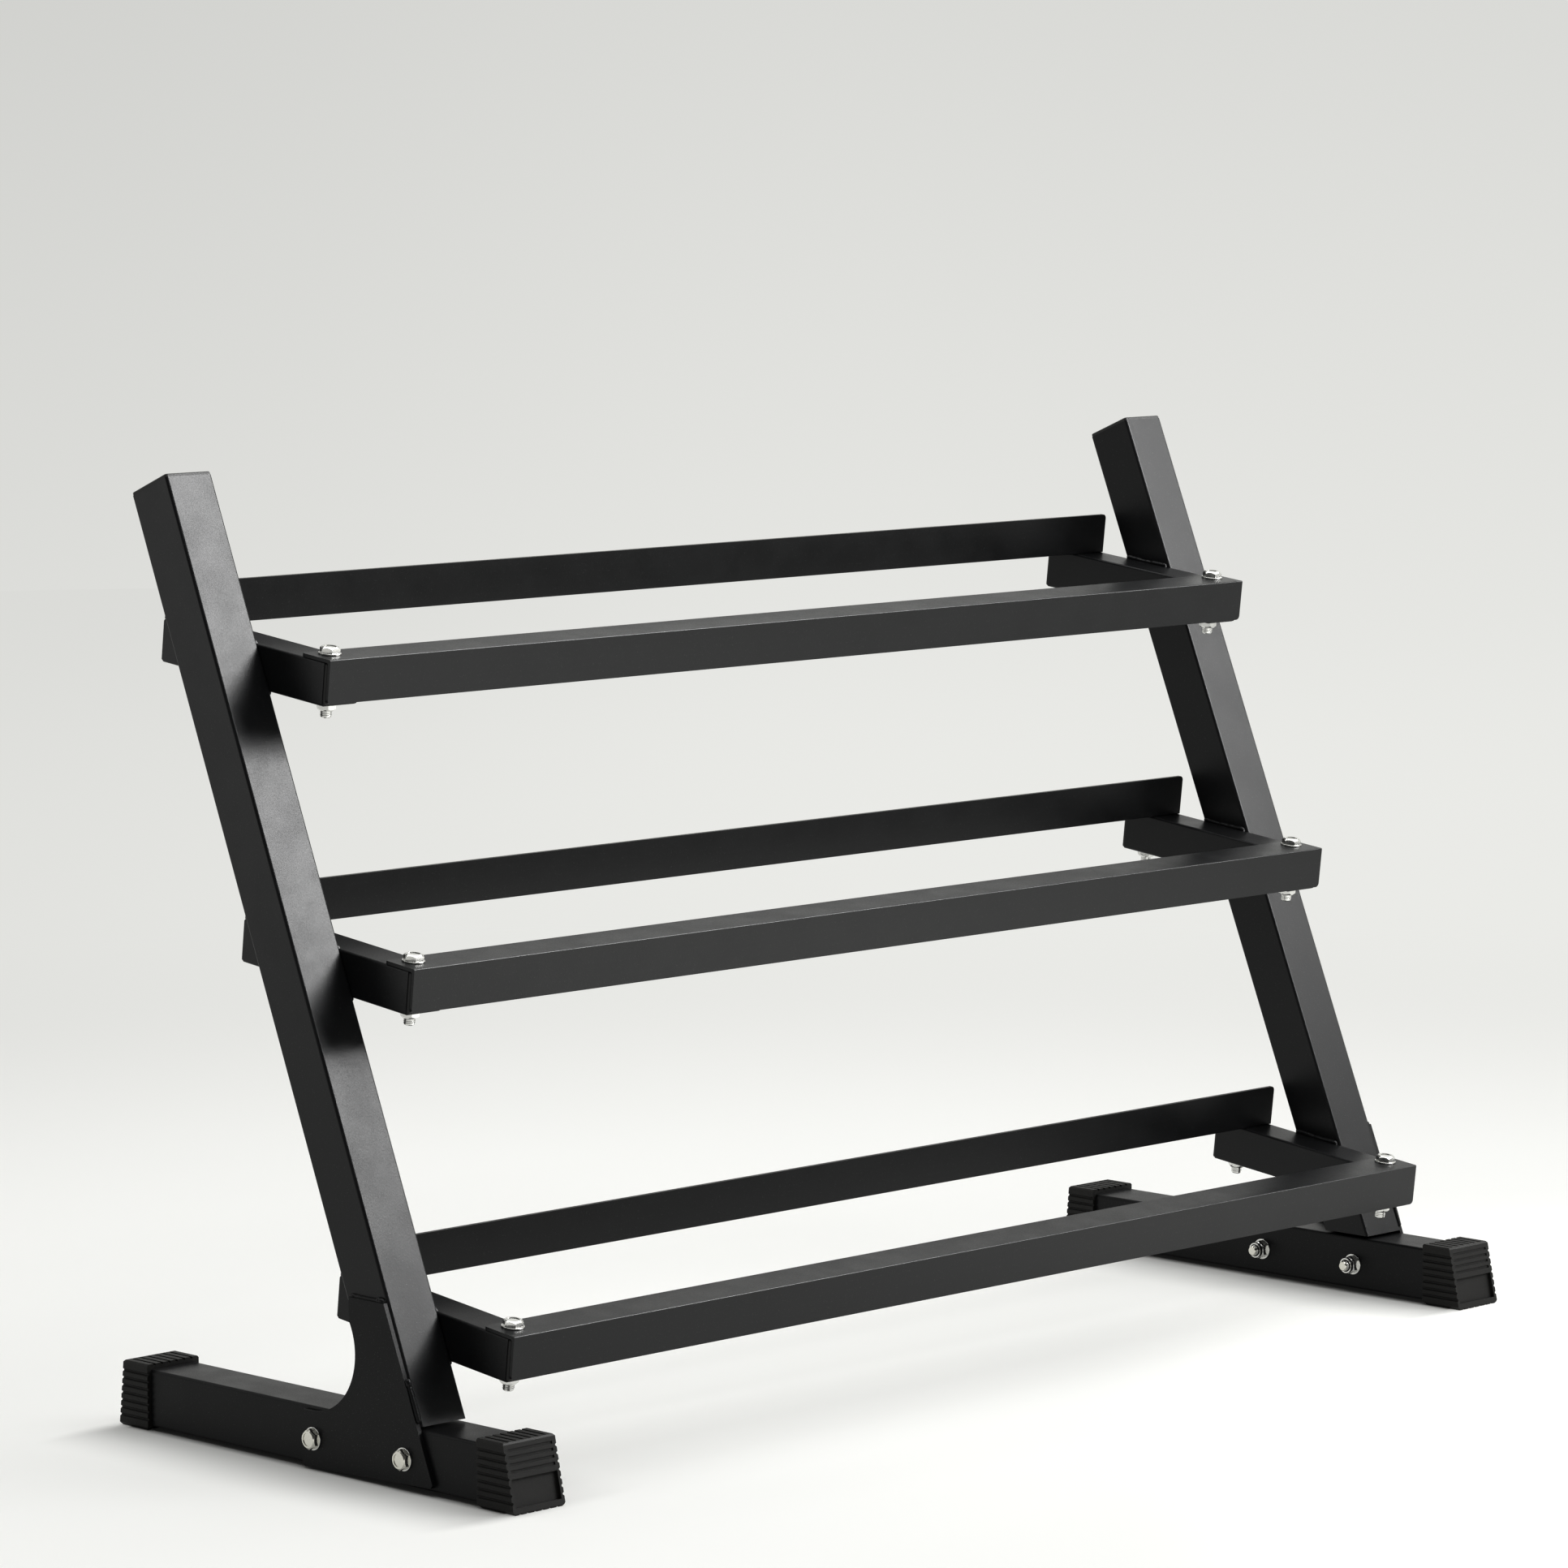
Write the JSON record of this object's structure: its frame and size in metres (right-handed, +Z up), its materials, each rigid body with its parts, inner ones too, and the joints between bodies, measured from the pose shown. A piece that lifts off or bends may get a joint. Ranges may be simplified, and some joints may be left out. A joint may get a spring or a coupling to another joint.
{
  "type": "dumbbell rack",
  "caption": "Freestanding tiered rack for dumbbells: leaning square-tube uprights on rubber-capped feet carry pairs of tilted angle rails between short arms.",
  "frame": {"origin": "centre of the footprint of the whole rack, on the floor", "axes": "+X to the right along the rails, +Y to the back (the way the uprights lean), +Z up"},
  "size_m": [1.284, 0.508, 0.831],
  "materials": {
    "black_steel": "satin black powder coat with a fine texture",
    "rubber": "matte black moulded rubber",
    "black_plastic": "matte black",
    "zinc_steel": "bright zinc plated"
  },
  "bodies": {
    "root": {"arm_left_bottom": "black_steel", "arm_left_middle": "black_steel", "arm_left_top": "black_steel", "arm_plug_left_bottom_front": "black_plastic", "arm_plug_left_bottom_rear": "black_plastic", "arm_plug_left_middle_front": "black_plastic", "arm_plug_left_middle_rear": "black_plastic", "arm_plug_left_top_front": "black_plastic", "arm_plug_left_top_rear": "black_plastic", "arm_plug_right_bottom_front": "black_plastic", "arm_plug_right_bottom_rear": "black_plastic", "arm_plug_right_middle_front": "black_plastic", "arm_plug_right_middle_rear": "black_plastic", "arm_plug_right_top_front": "black_plastic", "arm_plug_right_top_rear": "black_plastic", "arm_right_bottom": "black_steel", "arm_right_middle": "black_steel", "arm_right_top": "black_steel", "foot_bolts": "zinc_steel", "foot_cap_left_front": "rubber", "foot_cap_left_rear": "rubber", "foot_cap_right_front": "rubber", "foot_cap_right_rear": "rubber", "foot_nuts": "zinc_steel", "foot_tube_left": "black_steel", "foot_tube_right": "black_steel", "foot_washers": "zinc_steel", "front_rail_bottom": "black_steel", "front_rail_middle": "black_steel", "front_rail_top": "black_steel", "gusset_plate_left": "black_steel", "gusset_plate_right": "black_steel", "rail_bolts": "zinc_steel", "rail_nuts": "zinc_steel", "rail_washers": "zinc_steel", "rear_rail_bottom": "black_steel", "rear_rail_middle": "black_steel", "rear_rail_top": "black_steel", "upright_left": "black_steel", "upright_plug_left": "black_plastic", "upright_plug_right": "black_plastic", "upright_right": "black_steel"}
  },
  "joints": []
}
